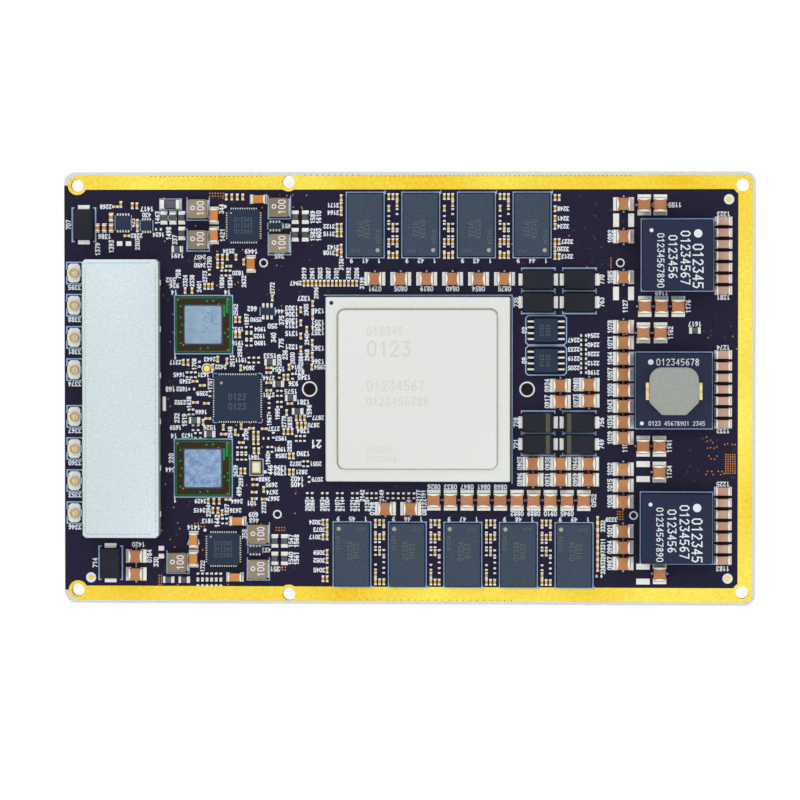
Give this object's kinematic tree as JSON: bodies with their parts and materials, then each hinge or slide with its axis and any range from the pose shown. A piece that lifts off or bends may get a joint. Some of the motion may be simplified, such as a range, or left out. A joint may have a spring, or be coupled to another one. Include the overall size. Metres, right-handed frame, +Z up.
{
  "type": "system on module",
  "caption": "Dark circuit module with a large lidded processor, rows of memory, power modules, a long shield can and a gold ground strip.",
  "frame": {"origin": "on the plane the module rests on, under the middle of the board", "axes": "+X along the board's long side, away from the shield can; +Y along its short side; +Z up from the component side"},
  "size_m": [0.15, 0.0938, 0.0141],
  "materials": {
    "laminate": "matte",
    "solder_mask": "satin",
    "gold_plating": "satin",
    "tin": "satin",
    "green_substrate": "satin",
    "silicon": "satin",
    "nickel_lid": "satin",
    "moulded_black": "matte",
    "memory_black": "matte",
    "ferrite": "matte",
    "brass_tab": "satin",
    "can_sheet": "satin",
    "cream_plastic": "matte",
    "brown_ceramic": "satin",
    "tan_ceramic": "satin",
    "orange_ceramic": "satin",
    "yellow_ceramic": "satin",
    "grey_ceramic": "satin",
    "tantalum_black": "matte",
    "coil_composite": "matte",
    "housing_black": "matte"
  },
  "bodies": {
    "root": {"circuit_board": "laminate", "solder_mask": "solder_mask", "ground_strip": "gold_plating", "hole_rings": "tin", "solder_pads": "tin", "gold_discs": "gold_plating", "processor_substrate": "green_substrate", "processor_die": "silicon", "processor_lid": "nickel_lid", "upper_transceiver_substrate": "green_substrate", "upper_transceiver_die": "silicon", "lower_transceiver_substrate": "green_substrate", "lower_transceiver_die": "silicon", "clock_chip": "moulded_black", "clock_chip_leads": "tin", "upper_supply_controller": "moulded_black", "lower_supply_controller": "moulded_black", "supply_controller_leads": "tin", "memory_top_1": "memory_black", "memory_top_2": "memory_black", "memory_top_3": "memory_black", "memory_top_4": "memory_black", "memory_bottom_1": "memory_black", "memory_bottom_2": "memory_black", "memory_bottom_3": "memory_black", "memory_bottom_4": "memory_black", "memory_bottom_5": "memory_black", "upper_power_module": "moulded_black", "core_power_module": "moulded_black", "lower_power_module": "moulded_black", "core_inductor": "ferrite", "core_inductor_tabs": "brass_tab", "flash_chip_1": "moulded_black", "flash_chip_2": "moulded_black", "flash_leads": "tin", "shield_frame": "can_sheet", "shield_lid": "can_sheet", "balun_chips": "cream_plastic", "coax_bases": "cream_plastic", "coax_shells": "gold_plating", "coax_pins": "gold_plating", "capacitor_bodies": "brown_ceramic", "edge_capacitor_bodies": "tan_ceramic", "filter_capacitor_bodies": "orange_ceramic", "capacitor_terminals": "tin", "grey_chip_bodies": "grey_ceramic", "grey_chip_terminals": "tin", "tantalum_bodies": "tantalum_black", "tantalum_terminals": "tin", "inductor_bodies": "coil_composite", "inductor_terminals": "tin", "small_capacitors": "yellow_ceramic", "small_resistors": "tantalum_black", "small_terminals": "tin", "small_packages": "moulded_black", "small_package_leads": "tin", "oscillator": "cream_plastic", "upper_carrier_connector": "housing_black", "lower_carrier_connector": "housing_black", "carrier_contacts": "gold_plating"}
  },
  "joints": []
}
